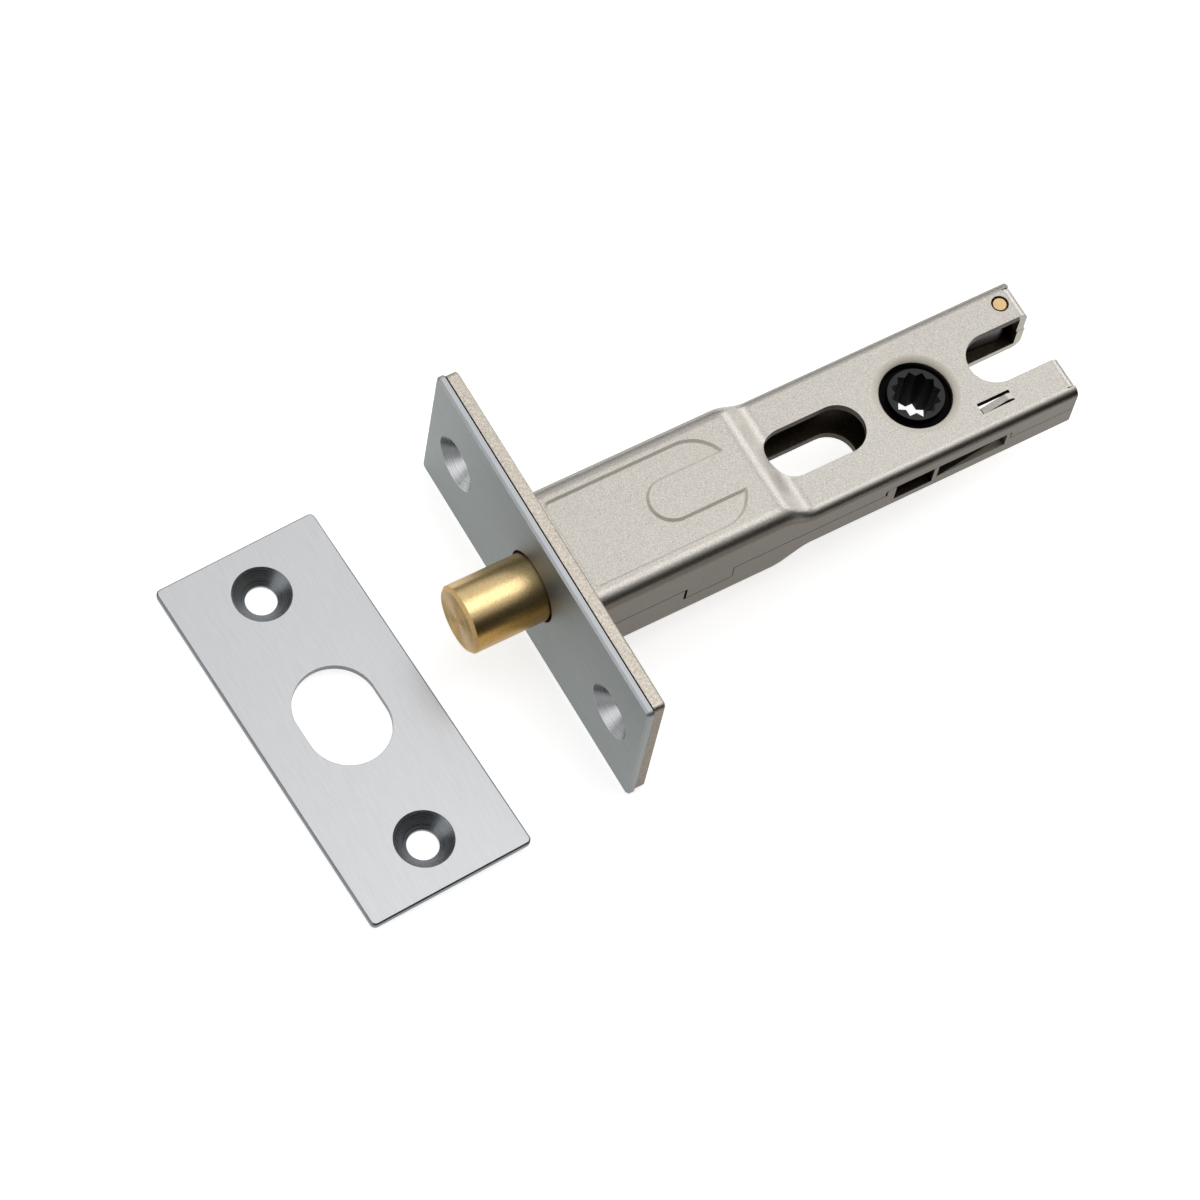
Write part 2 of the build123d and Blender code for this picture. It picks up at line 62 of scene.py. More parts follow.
# %% [markdown]
# ## Small helpers for materials
#
# Blender's shaders work in linear light, but colours are easiest to pick as the sRGB hex codes
# of any paint program. One function converts them. Another adds a shader node, applies its
# settings and makes its links, so that each material below reads as a short list. Patterns are
# sized in millimetres, as on the real surface.


# %% Colour, node and size helpers
def linear(code):
    """Linear RGBA of an sRGB hex code such as "c8a06a", by the curve of the sRGB standard."""
    channels = [int(code[i : i + 2], 16) / 255 for i in (0, 2, 4)]
    return [c / 12.92 if c <= 0.04045 else ((c + 0.055) / 1.055) ** 2.4 for c in channels] + [1.0]


def add(tree, kind, inputs=None, **settings):
    """Add a node; each input is a value, or the output socket that feeds it."""
    node = tree.nodes.new(kind)
    for name, value in settings.items():
        setattr(node, name, value)
    for name, value in (inputs or {}).items():
        if isinstance(value, bpy.types.NodeSocket):
            tree.links.new(value, node.inputs[name])
        else:
            node.inputs[name].default_value = value
    return node


def new_material(name):
    """A material with an empty node tree, and that tree."""
    material = bpy.data.materials.new(name)
    material.use_nodes = True
    material.node_tree.nodes.clear()
    return material, material.node_tree


def per_mm(size):
    """Scale of a pattern whose features are this many millimetres apart."""
    return 1 / (size * MM)


print("mid grey is", round(linear("808080")[0], 3), "in linear light")

# %% [markdown]
# ## Grain of a metal surface
#
# Brushed, blasted and turned metal differ in the small relief that the tool left. Noise that is
# stretched along one axis gives brushing, and even noise gives blasting or a moulded skin. The
# grain drives both the colour, a little, and a bump, because real grain shows as tiny slopes.
# Noise fades along the planes of its own lattice, so the pattern is turned off the flat faces.

# %% Grain and the two colours that it chooses between
GRAIN_TURN = (0.4, 0.3, 0.2)
DARK_BELOW, LIGHT_ABOVE = 0.3, 0.7


def grain(tree, size, stretch=(1, 1, 1), detail=3.0):
    """Noise with features of the given size in millimetres, drawn out along an axis."""
    place = add(tree, "ShaderNodeTexCoord").outputs["Object"]
    turned = {"Vector": place, "Scale": stretch, "Rotation": GRAIN_TURN}
    drawn = add(tree, "ShaderNodeMapping", turned).outputs["Vector"]
    noise = {"Vector": drawn, "Scale": per_mm(size), "Detail": detail, "Roughness": 0.6}
    return add(tree, "ShaderNodeTexNoise", noise).outputs["Fac"]


def tint(tree, factor, dark, light):
    """Colour between two hex codes, chosen by a grain."""
    ramp = add(tree, "ShaderNodeValToRGB", {"Fac": factor})
    low, high = ramp.color_ramp.elements
    low.position, low.color = DARK_BELOW, linear(dark)
    high.position, high.color = LIGHT_ABOVE, linear(light)
    return ramp.outputs["Color"]


print("grain is turned by", GRAIN_TURN, "radians")

# %% [markdown]
# ## Faces, walls and edges
#
# Faces that look up mirror a bright panel, and walls mirror the dim sides of the room. Lamps
# alone give only part of that difference, so a metal may have a second, darker pair of colours
# painted on its walls as shade. They are chosen by the surface's own normal, never by the
# camera, so they hold from every side. No real edge is quite sharp either: the Bevel node
# rounds its shading.


# %% Colour by facing, and the finished surface
def by_facing(tree, start, end, wall, face, axis="Z"):
    """Painted wall shade where the normal's share along an axis is start, face colour at end."""
    normal = add(tree, "ShaderNodeTexCoord").outputs["Normal"]
    part = add(tree, "ShaderNodeSeparateXYZ", {"Vector": normal}).outputs[axis]
    size = add(tree, "ShaderNodeMath", {0: part}, operation="ABSOLUTE").outputs[0]
    share = add(tree, "ShaderNodeMapRange", {"Value": size, 1: start, 2: end}).outputs[0]
    mixed = add(tree, "ShaderNodeMix", {0: share, 6: wall, 7: face}, data_type="RGBA")
    return mixed.outputs[2]


def finish(tree, colour, relief, depth, ease=0.1, **values):
    """Principled surface with a bump and eased edges; depth and ease are in millimetres."""
    slopes = {"Height": relief, "Strength": 1.0, "Distance": depth * MM}
    if ease:
        eased = add(tree, "ShaderNodeBevel", {"Radius": ease * MM}, samples=6)
        slopes["Normal"] = eased.outputs["Normal"]
    bump = add(tree, "ShaderNodeBump", slopes)
    inputs = {"Base Color": colour, "Normal": bump.outputs["Normal"]}
    shader = add(tree, "ShaderNodeBsdfPrincipled", inputs)
    for name, value in values.items():
        shader.inputs[name].default_value = value
    add(tree, "ShaderNodeOutputMaterial", {"Surface": shader.outputs["BSDF"]})


print("surface helpers ready")

# %% [markdown]
# ## Satin stainless steel, for the faceplate and the strike plate
#
# Both plates are stamped from stainless sheet and brushed along their length with an abrasive
# belt. The belt leaves fine parallel scratches, drawn here wider than the real ones so that
# they show. The eye sees soft streaks and a blurred reflection. The faceplate stands upright,
# so its whole front is a wall here, and a cooler, darker grey is painted on it as shade. The
# strike plate lies flat and mirrors the bright panel, and its walls get painted shade too.

# %% Satin steel
SCRATCH_WIDTH = 0.08
SCRATCH_DEPTH = 0.001
ALONG_THE_PLATE = (1, 0.02, 1)


def brushed_steel(name, dark, light, roughness, walls=None, span=(0.75, 0.95)):
    """Stainless sheet, brushed along Y; walls is a darker pair painted on its walls as shade."""
    material, tree = new_material(name)
    scratches = grain(tree, SCRATCH_WIDTH, ALONG_THE_PLATE)
    colour = tint(tree, scratches, dark, light)
    if walls:
        colour = by_facing(tree, *span, tint(tree, scratches, *walls), colour)
    finish(tree, colour, scratches, SCRATCH_DEPTH, Metallic=1.0, Roughness=roughness)
    return material


# darker colours painted as shade on the walls of the faceplate and the strike plate
front_painted_shade, strike_painted_shade = ("828786", "909594"), ("666a6e", "7c8084")
faceplate_satin = brushed_steel(
    "satin faceplate", "aeb1b4", "babdc0", roughness=0.5, walls=front_painted_shade, span=(0.45, 0.7)
)
strike_satin = brushed_steel(
    "satin strike", "b2b3b5", "bcbdbf", roughness=0.36, walls=strike_painted_shade
)
print("satin steel:", faceplate_satin.name, "and", strike_satin.name)

# %% [markdown]
# ## Blasted nickel plate, for the case and the backing plate
#
# The shells are pressed from steel sheet, tumbled or blasted dull, and nickel-plated. Nickel is
# a little warmer than chrome. The blasting leaves an even, very fine speckle, drawn a little
# coarser than it is. The long side walls of the case get a darker brown-grey painted on as
# shade, chosen along Y: fully on a wall, not at all on a rounding that looks mostly up. The
# backing plate is duller and rougher than the case, beige where the case is grey, and its walls
# get painted shade too.

# %% Nickel plate
BLAST_DEPTH = 0.02
PRESSED_EASE = 0.08


def nickel_plate(name, dark, light, roughness, grit, walls=None, span=(0.3, 0.85), axis="Z"):
    """Nickel over a blasted surface; walls is a darker pair painted on its walls as shade."""
    material, tree = new_material(name)
    speckle = grain(tree, grit, detail=4.0)
    colour = tint(tree, speckle, dark, light)
    if walls:
        colour = by_facing(tree, *span, tint(tree, speckle, *walls), colour, axis)
    values = {"Metallic": 1.0, "Roughness": roughness}
    finish(tree, colour, speckle, BLAST_DEPTH, PRESSED_EASE, **values)
    return material


# darker colours painted as shade on the walls of the case and the backing plate
case_painted_shade, backing_painted_shade = ("504a41", "6a6358"), ("5c5347", "8a7f70")
along_y = {"walls": case_painted_shade, "span": (0.95, 0.6), "axis": "Y"}
case_nickel = nickel_plate(
    "blasted nickel case", "95918a", "c9c5be", roughness=0.36, grit=0.16, **along_y
)
backing_nickel = nickel_plate(
    "dull nickel backing", "a1988c", "d2cbc0", roughness=0.42, grit=0.3, walls=backing_painted_shade
)
print("nickel plate:", case_nickel.name, "and", backing_nickel.name)

# %% [markdown]
# ## Steel where a tool has pressed, cut or sheared it
#
# Each tool leaves its own skin on the same sheet. Where the punch has pressed a line, as round
# the recess, the surface is matt and a pale colour is painted on it as light, so the eye sees a
# thin pale line and not a black one. A countersink leaves bare steel, which mirrors the overhead
# panel where the cone looks up; at its sides a dark colour is painted, as the shade and
# reflection of the dark room. The rear end of each shell is plated after it is cut, so its edge
# is only a shade duller than the case. The other punched edges are torn, and the plating hardly
# takes on them or on the inside, so both are brown-grey, and darker still with painted shade.

# %% Worked steel
# pale colour painted as light on the pressed lines, which are also matt
pressed_line_painted_light = nickel_plate(
    "blasted nickel pressed line", "e2ded6", "f4f0e8", roughness=0.92, grit=0.16
)
cut_edge = nickel_plate("plated cut edge", "9d998f", "b8b4aa", roughness=0.45, grit=0.16)
# dark brown of torn edges, made darker as painted shade; also painted as shade on the faceplate
# bevel
sheared_edge_and_painted_shade = nickel_plate("sheared steel edge", "332d26", "544b41", roughness=0.45, grit=0.12)
# darker brown-grey painted as shade on the inside of the case
inside_painted_shade = nickel_plate("steel inside with painted shade", "5a5044", "796e60", roughness=0.36, grit=0.4)
# dark colours painted as shade on the sides of the countersinks
cone_painted_shade = {"walls": ("3c4042", "505456"), "span": (0.1, 0.65)}
bare_cone_with_painted_shade = nickel_plate(
    "countersunk steel", "d0d2d5", "e2e4e6", roughness=0.45, grit=0.2, **cone_painted_shade
)
print("worked steel:", pressed_line_painted_light.name, cut_edge.name, sheared_edge_and_painted_shade.name, bare_cone_with_painted_shade.name)

# %% [markdown]
# ## Turned brass, for the bolt and the rear rivet
#
# The bolt is bar brass, turned on a lathe, so its marks are rings round the axis. They are soft
# rings in the bump here, drawn far wider apart than the feed of a lathe so that they show. The
# eye sees a warm yellow metal with faint ripples. A browner colour is painted on its sides as
# shade, fully where they look mostly sideways, not at all near the top and bottom. The flat
# nose is a deeper yellow than the sides, and the rim round it is rubbed pale and matt by the
# strike plate. Tarnish is blotchy, not ringed, so a plain grain chooses between the two colours.

# %% Turned brass
WAVE_RADIANS_PER_UNIT = 20
MARK_DEPTH = 0.006
STAIN_SIZE = 0.3
PAINTED_SHADE_SPAN = (0.5, 0.9)


def turned_brass(name, dark, light, roughness=0.3, axis="X", spacing=2.2, walls=None):
    """Brass with rings round an axis, spacing in millimetres; walls is a browner pair of
    colours painted on its sides as shade.
    """
    material, tree = new_material(name)
    place = add(tree, "ShaderNodeTexCoord").outputs["Object"]
    scale = per_mm(spacing) * 2 * math.pi / WAVE_RADIANS_PER_UNIT
    rings = {"Vector": place, "Scale": scale, "Distortion": 0.6, "Detail": 2.0}
    wave = add(tree, "ShaderNodeTexWave", rings, wave_type="RINGS", rings_direction=axis)
    stain = grain(tree, STAIN_SIZE)
    colour = tint(tree, stain, dark, light)
    if walls:
        colour = by_facing(tree, *PAINTED_SHADE_SPAN, tint(tree, stain, *walls), colour)
    values = {"Metallic": 1.0, "Roughness": roughness}
    finish(tree, colour, wave.outputs["Fac"], MARK_DEPTH, ease=0, **values)
    return material


# browner colours painted as shade on the sides of the bolt
bolt_painted_shade = ("a37f45", "ba9553")
bolt_brass = turned_brass("turned brass bolt", "d2b680", "e9cf9d", walls=bolt_painted_shade)
nose_brass = turned_brass("turned brass nose", "b08f52", "c5a464")
rim_brass = turned_brass("worn brass rim", "dcbd82", "eed09a", roughness=0.7)
rivet_brass = turned_brass("brass rivet", "b59a70", "c3a87e", axis="Z", spacing=1.885)
print("brass:", bolt_brass.name, nose_brass.name, rim_brass.name, "and", rivet_brass.name)

# %% [markdown]
# ## Plastics and inner steel
#
# The follower is black nylon with glass fibre, moulded with a fine matt texture, and below its
# crown it is painted near black, as shade. The guide is natural acetal, off-white and waxy. The
# strap and its rivets are dull grey zinc-plated steel, and the spring is blue-grey strip. What
# is inside the case is seen only through its windows.

# %% Nylon, acetal and plain steel
PLASTIC_IOR = 1.53
TEXTURE_DEPTH = 0.01


def moulded(name, dark, light, roughness, texture, gloss=0.5):
    """Moulded plastic with a spark-eroded texture."""
    material, tree = new_material(name)
    pits = grain(tree, texture)
    colour = tint(tree, pits, dark, light)
    values = {"Roughness": roughness, "IOR": PLASTIC_IOR, "Specular IOR Level": gloss}
    finish(tree, colour, pits, TEXTURE_DEPTH, **values)
    return material


follower_nylon = moulded(
    "black nylon follower", "070707", "0e0e0e", roughness=0.5, texture=0.2, gloss=0.35
)
# near black painted as shade below the crown of the follower
follower_bore_painted_shade = moulded(
    "black nylon in shade", "020202", "050505", roughness=0.6, texture=0.2, gloss=0.05
)
guide_acetal = moulded("natural acetal guide", "d9d7d0", "e6e4de", roughness=0.45, texture=0.3)
strap_steel = brushed_steel("zinc plated strap", "7d7a74", "908d86", roughness=0.45)
rivet_steel = brushed_steel("zinc plated rivets", "8f8d88", "a09e98", roughness=0.45)
spring_steel = brushed_steel("blued spring strip", "545357", "66666a", roughness=0.35)
print("plastics and inner steel ready")

# %% [markdown]
# ## Which piece takes which finish
#
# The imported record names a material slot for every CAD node. One table from slot to material
# dresses them all.

# %% Dress the CAD nodes
finishes = {
    "faceplate_satin": faceplate_satin,
    "backing_nickel": backing_nickel,
    "case_nickel": case_nickel,
    "bolt_brass": bolt_brass,
    "strap_steel": strap_steel,
    "rivet_steel": rivet_steel,
    "follower_nylon": follower_nylon,
    "guide_acetal": guide_acetal,
    "rivet_brass": rivet_brass,
    "spring_steel": spring_steel,
    "strike_satin": strike_satin,
}
for subpart in frame["record"]["subparts"]:
    mesh = nodes[subpart["node"]].data
    mesh.materials.clear()
    mesh.materials.append(finishes[subpart["material_slot"]])

# %% [markdown]
# ## How deep a point lies in the case
#
# Each shell of the case is one pressing, so one node, but its outside, its edges and its inside
# differ. The depth of a face below the shell's outer form tells them apart: the outside lies at
# the surface, a punched edge between it and one sheet thickness, and the inside deeper. The
# outer form is a rounded box that gets flatter along a smooth step. Its sizes, in millimetres,
# are those of the pressing.

# %% Depth below the outer form
SHEET = 1.2
HALF_WIDTH = 10.0
FRONT_HEIGHT, FRONT_RADIUS = 7.6, 2.2
REAR_HEIGHT, REAR_RADIUS = 4.6, 1.4
STEP_START, STEP_END = 32.9, 38.9
UPPER_END, LOWER_END = 81.7, 82.0


def depth_below(x, y, z, end):
    """Distance in millimetres of a point below the outer form of a shell."""
    share = min(max((x - STEP_START) / (STEP_END - STEP_START), 0), 1)
    ease = (1 - math.cos(math.pi * share)) / 2
    height = FRONT_HEIGHT + ease * (REAR_HEIGHT - FRONT_HEIGHT)
    radius = FRONT_RADIUS + ease * (REAR_RADIUS - FRONT_RADIUS)
    across, up = abs(y) - HALF_WIDTH + radius, abs(z) - height + radius
    corner = math.hypot(max(across, 0), max(up, 0)) + min(max(across, up), 0)
    return min(radius - corner, end - x)


print("middle of the front lies", depth_below(0, 0, 0, UPPER_END), "mm deep")

# %% [markdown]
# ## Five finishes on each shell
#
# A face is sorted by its depth, by how far it looks outwards, and by where it lies. The walls
# of the recess and the lip of the collar round the follower are pressed lines, painted pale as
# light. The rest of the dished collar, and slopes within the sheet, belong to the outside. Of the
# punched edges, those at the rear of each shell are plated ones, from a given place on; the
# other edges and the inside take painted shade. One loop sorts all faces, because the rule is
# the same for both shells, turned over.

# %% Sort the faces of the shells
OUTSIDE, SHEARED_AND_PAINTED_SHADE, INSIDE_PAINTED_SHADE, PRESSED, CUT = range(5)
SPINDLE_X, LIP_RADIUS, FUNNEL_RADIUS = 60.65, 5.2, 6.4
LIP_TILT, FUNNEL_TILT = (0.5, 0.999), 0.02
RECESS_END, RECESS_HALF_WIDTH = 31.4, 7.4
RECESS_DEPTHS, RECESS_TILT = (0.05, 0.35), 0.9
SKIN_DEPTH, SLOPE_TILT = 0.3, 0.3
EDGE_DEPTH = SHEET - 0.1


def kind_of_face(face, side, end, plated_from):
    """Finish of a face of the shell on one side; tilts are the share of its normal outwards."""
    x, y, z = face.center / MM
    depth = depth_below(x, y, z, end)
    outward = face.normal.z * side
    from_spindle = math.hypot(x - SPINDLE_X, y)
    on_lip = LIP_RADIUS < from_spindle < FUNNEL_RADIUS and LIP_TILT[0] < outward < LIP_TILT[1]
    in_recess = x < RECESS_END and abs(y) < RECESS_HALF_WIDTH
    in_recess = in_recess and RECESS_DEPTHS[0] < depth < RECESS_DEPTHS[1]
    # the pressed lines take the pale colour painted as light
    if on_lip or (in_recess and outward < RECESS_TILT):
        return PRESSED
    in_funnel = from_spindle < FUNNEL_RADIUS and outward > FUNNEL_TILT
    if depth < SKIN_DEPTH or in_funnel or (outward > SLOPE_TILT and depth < SHEET):
        return OUTSIDE
    if depth >= EDGE_DEPTH:
        return INSIDE_PAINTED_SHADE
    return CUT if x > plated_from else SHEARED_AND_PAINTED_SHADE


def coat(node, side, end, plated_from):
    """Give each face of a shell its finish; the case nickel is already its first material."""
    mesh = nodes[node].data
    for material in (sheared_edge_and_painted_shade, inside_painted_shade, pressed_line_painted_light, cut_edge):
        mesh.materials.append(material)
    found = [0] * len(mesh.materials)
    for face in mesh.polygons:
        face.material_index = kind_of_face(face, side, end, plated_from)
        found[face.material_index] += 1
    print(node, "outside, edge, inside, pressed and cut faces:", found)


coat("case_upper", 1, UPPER_END, plated_from=79)
coat("case_lower", -1, LOWER_END, plated_from=66)

# %% [markdown]
# ## Cones and rear bevel of the faceplate
#
# The screw holes of the faceplate are cut after brushing, so their cones are bright steel, with
# a dark colour painted as shade where they look sideways. The bevel between the faceplate and
# the backing plate is painted dark brown as shade. Both are slopes, so the tilt of a face finds
# them and its place tells them apart. That needs no new geometry.

# %% Mark the cones and the rear bevel of the faceplate
HOLE_SPACING = 42.0
FACEPLATE_BACK = 1.0
CONE_RADIUS = 4.3
SLOPED = (0.5, 0.9)
faceplate = nodes["faceplate"].data
faceplate.materials.append(bare_cone_with_painted_shade)
faceplate.materials.append(sheared_edge_and_painted_shade)
for face in faceplate.polygons:
    x, y, z = face.center / MM
    sloped = SLOPED[0] < abs(face.normal.x) < SLOPED[1]
    near_hole = abs(z) < CONE_RADIUS and abs(y) < HOLE_SPACING / 2 + CONE_RADIUS
    if sloped and near_hole and face.normal.x < 0:
        face.material_index = 1
    # the rear bevel takes dark brown painted as shade
    elif sloped and x > FACEPLATE_BACK and abs(z) > CONE_RADIUS:
        face.material_index = 2
marked = [face.material_index for face in faceplate.polygons]
print("faceplate cone and bevel faces:", marked.count(1), marked.count(2))

# %% [markdown]
# ## Nose of the bolt and crown of the follower
#
# The flat nose of the bolt and the chamfered rim round it have brass of their own, and the tilt
# of a face tells one from the other. The follower shows its moulded grey-black only on its
# crown; the rest, with the star bore below, is painted near black as shade. Faces are told apart
# by tilt and place again.

# %% Mark the nose of the bolt and the crown of the follower
NOSE_FROM = -10.5
NOSE_TILT, NOSE_FLAT = 0.05, 0.97
CROWN_FROM, CROWN_TILT = 4.3, 0.9
bolt = nodes["bolt"].data
bolt.materials.append(rim_brass)
bolt.materials.append(nose_brass)
for face in bolt.polygons:
    forward = -face.normal.x
    if face.center.x / MM < NOSE_FROM and forward > NOSE_TILT:
        face.material_index = 1 if forward < NOSE_FLAT else 2
follower = nodes["follower"].data
follower.materials.append(follower_bore_painted_shade)
for face in follower.polygons:
    on_crown = abs(face.normal.z) > CROWN_TILT and abs(face.center.z) / MM > CROWN_FROM
    # below the crown the follower takes near black painted as shade
    face.material_index = 0 if on_crown else 1
print("nose of the bolt and crown of the follower marked")

# %% [markdown]
# ## Turning marks
#
# A lathe tool or a countersink leaves fine rings, too small for the model but plain to see where
# light grazes them: on the flat nose of the bolt and in the four screw holes. Each set of rings
# repeats one circle at even steps down a cone, a little unevenly, so Geometry Nodes make them. A
# depth of zero gives the rings of a flat face. First come the points that carry the rings: each
# is one step deeper and one step narrower than the next, give or take a random quarter step.

# %% Places of the rings
UNEVEN = 0.25


def ring_points(tree, given):
    """Points at the heights of the rings, and the radius of each ring."""
    points = add(tree, "GeometryNodePoints", {"Count": given["Rings"]}).outputs[0]
    index = add(tree, "GeometryNodeInputIndex").outputs[0]
    spread = {"ID": index, "Seed": given["Seed"], 2: -UNEVEN, 3: UNEVEN}
    jitter = add(tree, "FunctionNodeRandomValue", spread, data_type="FLOAT").outputs[1]
    step = add(tree, "ShaderNodeMath", {0: index, 1: jitter}, operation="ADD").outputs[0]
    last = add(tree, "ShaderNodeMath", {0: given["Rings"], 1: 1.0}, operation="SUBTRACT").outputs[0]
    radius = {"Value": step, 2: last, 3: given["Inner radius"], 4: given["Outer radius"]}
    radius = add(tree, "ShaderNodeMapRange", radius).outputs[0]
    sink = add(tree, "ShaderNodeMath", {0: given["Depth"], 1: -1.0}, operation="MULTIPLY")
    height = {"Value": step, 2: last, 3: sink.outputs[0], 4: 0.0}
    height = add(tree, "ShaderNodeMapRange", height).outputs[0]
    offset = add(tree, "ShaderNodeCombineXYZ", {"Z": height}).outputs[0]
    placed = add(tree, "GeometryNodeSetPosition", {"Geometry": points, "Offset": offset})
    return placed.outputs[0], radius


print("rings are uneven by up to", UNEVEN, "of a step")

# %% [markdown]
# ## The ring group
#
# A circle of radius 1 is put on each point, scaled to the radius of its ring, made real, and
# swept with a small circle to a thin wire. The sizes, the seed and the finish are inputs, so
# that one group serves the nose and the screw holes.

# %% Node group for rings down a cone
RING_SOCKETS = {
    "Rings": "NodeSocketInt",
    "Inner radius": "NodeSocketFloat",
    "Outer radius": "NodeSocketFloat",
    "Depth": "NodeSocketFloat",
    "Wire": "NodeSocketFloat",
    "Seed": "NodeSocketInt",
    "Finish": "NodeSocketMaterial",
}
RING_SIDES, WIRE_SIDES = 72, 6


def ring_group():
    """Geometry Nodes group that draws thin rings at even steps from one radius to another."""
    tree = bpy.data.node_groups.new("turning marks", "GeometryNodeTree")
    for name, kind in RING_SOCKETS.items():
        tree.interface.new_socket(name=name, in_out="INPUT", socket_type=kind)
    tree.interface.new_socket(name="Geometry", in_out="OUTPUT", socket_type="NodeSocketGeometry")
    given = add(tree, "NodeGroupInput").outputs
    points, radius = ring_points(tree, given)
    size = add(tree, "ShaderNodeCombineXYZ", {"X": radius, "Y": radius, "Z": radius}).outputs[0]
    circle = {"Resolution": RING_SIDES, "Radius": 1.0}
    circle = add(tree, "GeometryNodeCurvePrimitiveCircle", circle).outputs[0]
    copies = {"Points": points, "Instance": circle, "Scale": size}
    copies = add(tree, "GeometryNodeInstanceOnPoints", copies).outputs[0]
    curves = add(tree, "GeometryNodeRealizeInstances", {"Geometry": copies}).outputs[0]
    wire = {"Resolution": WIRE_SIDES, "Radius": given["Wire"]}
    wire = add(tree, "GeometryNodeCurvePrimitiveCircle", wire).outputs[0]
    tube = {"Curve": curves, "Profile Curve": wire}
    tube = add(tree, "GeometryNodeCurveToMesh", tube).outputs[0]
    smooth = add(tree, "GeometryNodeSetShadeSmooth", {"Geometry": tube}).outputs[0]
    coated = {"Geometry": smooth, "Material": given["Finish"]}
    coated = add(tree, "GeometryNodeSetMaterial", coated).outputs[0]
    add(tree, "NodeGroupOutput", {"Geometry": coated})
    return tree


rings = ring_group()
print("ring group has", len(rings.nodes), "nodes")

# %% [markdown]
# ## From the node group to a piece
#
# The group makes one set of rings at the origin. Its modifier's inputs are set by their
# identifiers, and the result is turned into a plain mesh. Copies of that mesh are moved to
# their places and joined, so that each piece is one mesh that rides one body.


# %% A piece with its sets of rings
def one_set(name, inputs):
    """Plain mesh of one set of rings, with each input given by the name of its socket."""
    work = bpy.data.objects.new(name + "_work", bpy.data.meshes.new(name + "_work"))
    bpy.context.scene.collection.objects.link(work)
    modifier = work.modifiers.new("rings", "NODES")
    modifier.node_group = rings
    for item in rings.interface.items_tree:
        if item.in_out == "INPUT":
            modifier[item.identifier] = inputs[item.name.lower().replace(" ", "_")]
    bpy.context.view_layer.update()
    evaluated = work.evaluated_get(bpy.context.evaluated_depsgraph_get())
    mesh = bpy.data.meshes.new_from_object(evaluated)
    bpy.data.objects.remove(work)
    return mesh


def turning_marks(name, body, slot, places, **inputs):
    """Sets of rings at the given places, joined to one piece that rides a body."""
    one = one_set(name, inputs)
    whole = bmesh.new()
    for place in places:
        copy = one.copy()
        copy.transform(place)
        whole.from_mesh(copy)
    mesh = bpy.data.meshes.new(name)
    whole.to_mesh(mesh)
    whole.free()
    mesh.materials.append(inputs["finish"])
    piece = bpy.data.objects.new(name, mesh)
    bpy.context.scene.collection.objects.link(piece)
    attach(piece, body)
    print(name, "has", len(mesh.polygons), "faces")


print("turning marks can be placed")

# %% [markdown]
# ## Rings on the nose of the bolt
#
# The bolt was faced off on the lathe, so its nose carries concentric rings. They ride the
# sliding bolt. The group's rings look along Z, so they are turned to look out of the door.

# %% Place the rings of the nose
NOSE_X = -11.5
out_of_door = Matrix.Rotation(math.radians(-90), 4, "Y")
turning_marks(
    "nose_turning_marks",
    "sliding_bolt",
    "bolt_brass",
    [Matrix.Translation(Vector((NOSE_X, 0, 0)) * MM) @ out_of_door],
    rings=12,
    inner_radius=0.3 * MM,
    outer_radius=4.2 * MM,
    depth=0.0,
    wire=0.03 * MM,
    seed=4,
    finish=nose_brass,
)

# %% [markdown]
# ## Rings in the screw holes
#
# A countersink chatters a little and leaves rings down its cone. The holes of both plates are
# the same size and distance apart. Those of the faceplate look out of the door, and those of
# the strike plate look up, from where it lies beside the lock, turned by a few degrees.

# %% Place the rings of the countersinks
CONE_TOP = 0.12
STRIKE_MIDDLE = Vector((-29.1, -1.27, -10.1))
STRIKE_TURN = math.radians(2.62)
halves = (HOLE_SPACING / 2, -HOLE_SPACING / 2)
along = Vector((-math.sin(STRIKE_TURN), math.cos(STRIKE_TURN), 0))
drop = Vector((0, 0, -CONE_TOP))
front_holes = [Matrix.Translation(Vector((CONE_TOP, y, 0)) * MM) @ out_of_door for y in halves]
strike_holes = [Matrix.Translation((STRIKE_MIDDLE + along * half + drop) * MM) for half in halves]
cone = {
    "rings": 9,
    "inner_radius": 2.45 * MM,
    "outer_radius": 4.08 * MM,
    "depth": 1.63 * MM,
    "wire": 0.02 * MM,
}
turning_marks(
    "faceplate_countersink_marks",
    "lock",
    "faceplate_satin",
    front_holes,
    seed=7,
    finish=faceplate_satin,
    **cone,
)
turning_marks(
    "strike_countersink_marks",
    "lock",
    "strike_satin",
    strike_holes,
    seed=9,
    finish=strike_satin,
    **cone,
)

# %% [markdown]
# ## Card and table
#
# The photograph is a plain pack shot on white. The object lies on a white card that just fills
# the picture, on a dark table in a dark room. The card is an ordinary matt white that takes the
# object's shadow, and a glow of its own makes it read as white, in the picture and mirrored in
# the metal, without more light on the object. What lies low round the card is dark, and the
# round edges of the metal mirror it: that gives them their dark bands.

# %% Card and table
CARD_GLOW = 0.65
TABLE_HALF = 1500
TABLE_DROP = 0.5
floor_height = cad_box[0][2] / MM


def lay(name, outline, height, material):
    """Flat piece of the stage through the corners of an outline, in millimetres."""
    mesh = bpy.data.meshes.new(name)
    corners = [Vector((x, y, height)) * MM for x, y in outline]
    mesh.from_pydata(corners, [], [range(len(corners))])
    mesh.materials.append(material)
    piece = bpy.data.objects.new(name, mesh)
    bpy.context.scene.collection.objects.link(piece)


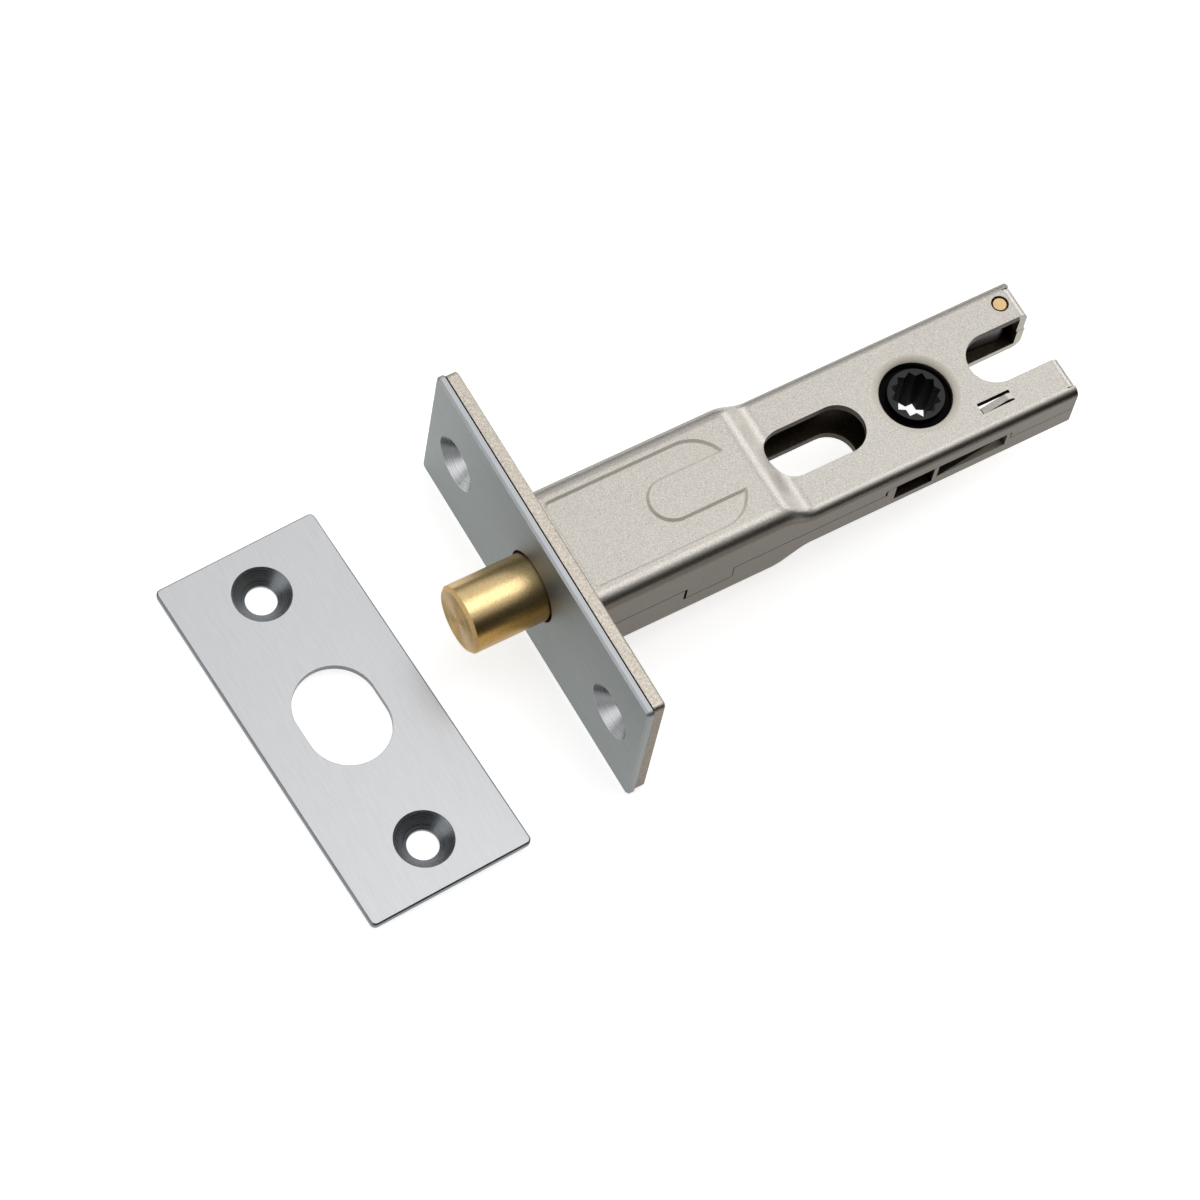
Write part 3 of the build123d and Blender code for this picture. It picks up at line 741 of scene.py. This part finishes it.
def white_card():
    """Matt white that also glows for camera, glossy and transmission rays."""
    material, tree = new_material("white card")
    matt = add(tree, "ShaderNodeBsdfDiffuse", {"Color": linear("e6e6e6")})
    glow = add(tree, "ShaderNodeEmission", {"Color": linear("ffffff"), "Strength": CARD_GLOW})
    both = add(tree, "ShaderNodeAddShader", {0: matt.outputs["BSDF"], 1: glow.outputs[0]})
    path = add(tree, "ShaderNodeLightPath").outputs
    seen = path["Is Camera Ray"]
    for mirrored in ("Is Glossy Ray", "Is Transmission Ray"):
        total = {0: seen, 1: path[mirrored]}
        seen = add(tree, "ShaderNodeMath", total, operation="ADD", use_clamp=True).outputs[0]
    surface = {"Fac": seen, 1: matt.outputs["BSDF"], 2: both.outputs[0]}
    surface = add(tree, "ShaderNodeMixShader", surface).outputs[0]
    add(tree, "ShaderNodeOutputMaterial", {"Surface": surface})
    return material


def dark_table():
    """Table top painted matt black."""
    material, tree = new_material("black table paint")
    matt = add(tree, "ShaderNodeBsdfDiffuse", {"Color": linear("262626")})
    add(tree, "ShaderNodeOutputMaterial", {"Surface": matt.outputs["BSDF"]})
    return material


card_outline = ((-160, 600), (-107, -43), (41, -121), (149, 47), (300, 600))
table_outline = [(x * TABLE_HALF, y * TABLE_HALF) for x, y in ((-1, -1), (1, -1), (1, 1), (-1, 1))]
lay("white_card", card_outline, floor_height, white_card())
lay("dark_table", table_outline, floor_height - TABLE_DROP, dark_table())
print("card at", round(floor_height, 2), "mm")

# %% [markdown]
# ## Lamps
#
# Three soft panels stand where the photograph shows highlights: one overhead, which the flat
# tops and the crest of the bolt mirror, one low behind for the step of the case, and one on the
# left for the screw holes. Metal shows a panel as a patch as bright as the panel itself, so
# each lamp is given by its brightness and its size, and its power follows from them.

# %% Lamps
lamp_target = Vector((30, 0, 0)) * MM


def soft_lamp(name, direction, distance, width, brightness):
    """Square area lamp that looks at the case, with sizes in metres."""
    lamp = bpy.data.lights.new(name, "AREA")
    lamp.size = width
    lamp.energy = brightness * math.pi * width * width
    holder = bpy.data.objects.new(name, lamp)
    bpy.context.scene.collection.objects.link(holder)
    away = Vector(direction).normalized()
    holder.location = lamp_target + away * distance
    holder.rotation_euler = away.to_track_quat("Z", "Y").to_euler()
    print(name, "gives", round(lamp.energy, 2), "W")


soft_lamp("rear panel", (0.92, 0.35, 0.18), distance=0.7, width=0.5, brightness=2.0)
soft_lamp("overhead panel", (0.31, 0.05, 0.95), distance=1.4, width=0.9, brightness=1.4)
soft_lamp("left panel", (-0.9, 0.1, 0.36), distance=0.7, width=0.55, brightness=1.5)

# %% [markdown]
# ## The room
#
# The world is a studio room, dark low down and bright overhead, with a soft change between
# them. A colour ramp over one direction gives that, and the metal mirrors it as a smooth
# gradient. The picture keeps Blender's Standard view, which shows colours as written.

# %% World
TO_BRIGHT_SIDE = (0.3, 0.3, 0.9)
DARK_UP_TO, BRIGHT_FROM = 0.42, 0.8
world = bpy.data.worlds.new("studio room")
bpy.context.scene.world = world
world.use_nodes = True
room = world.node_tree
room.nodes.clear()
direction = add(room, "ShaderNodeTexCoord").outputs["Generated"]
height = {0: direction, 1: TO_BRIGHT_SIDE}
height = add(room, "ShaderNodeVectorMath", height, operation="DOT_PRODUCT").outputs["Value"]
shade = add(room, "ShaderNodeValToRGB", {"Fac": height})
dim, bright = shade.color_ramp.elements
dim.position, dim.color = DARK_UP_TO, linear("302e2b")
bright.position, bright.color = BRIGHT_FROM, linear("f2f2f2")
air = add(room, "ShaderNodeBackground", {"Color": shade.outputs["Color"]})
add(room, "ShaderNodeOutputWorld", {"Surface": air.outputs["Background"]})
bpy.context.scene.view_settings.view_transform = "Standard"
print("room is dark up to", DARK_UP_TO, "and bright from", BRIGHT_FROM)

# %% [markdown]
# ## Camera
#
# The photograph looks steeply down on the object from in front and to its left, with the camera
# rolled so that the faceplate runs across the frame. A long lens from some distance gives its
# mild perspective.

# %% Camera
view_azimuth = math.radians(-41.847)
view_elevation = math.radians(62.357)
view_roll = math.radians(13.300)
view_distance = 0.686
view_target = Vector((7.234, -5.963, 0.0)) * MM
focal_in_pixels = 5092.94
image_width = 1200
sensor = 36.0

towards_camera = Vector(
    (
        math.sin(view_azimuth) * math.cos(view_elevation),
        -math.cos(view_azimuth) * math.cos(view_elevation),
        math.sin(view_elevation),
    )
)
lens = bpy.data.cameras.new("pack shot")
lens.sensor_width = sensor
lens.lens = focal_in_pixels / image_width * sensor
camera = bpy.data.objects.new("pack shot camera", lens)
bpy.context.scene.collection.objects.link(camera)
camera.location = view_target + towards_camera * view_distance
camera.rotation_euler = (
    towards_camera.to_track_quat("Z", "Y").to_matrix() @ Matrix.Rotation(view_roll, 3, "Z")
).to_euler()
bpy.context.scene.camera = camera
print("camera at", [round(c / MM, 2) for c in camera.location], "mm")

# %% The end
print("scene built")
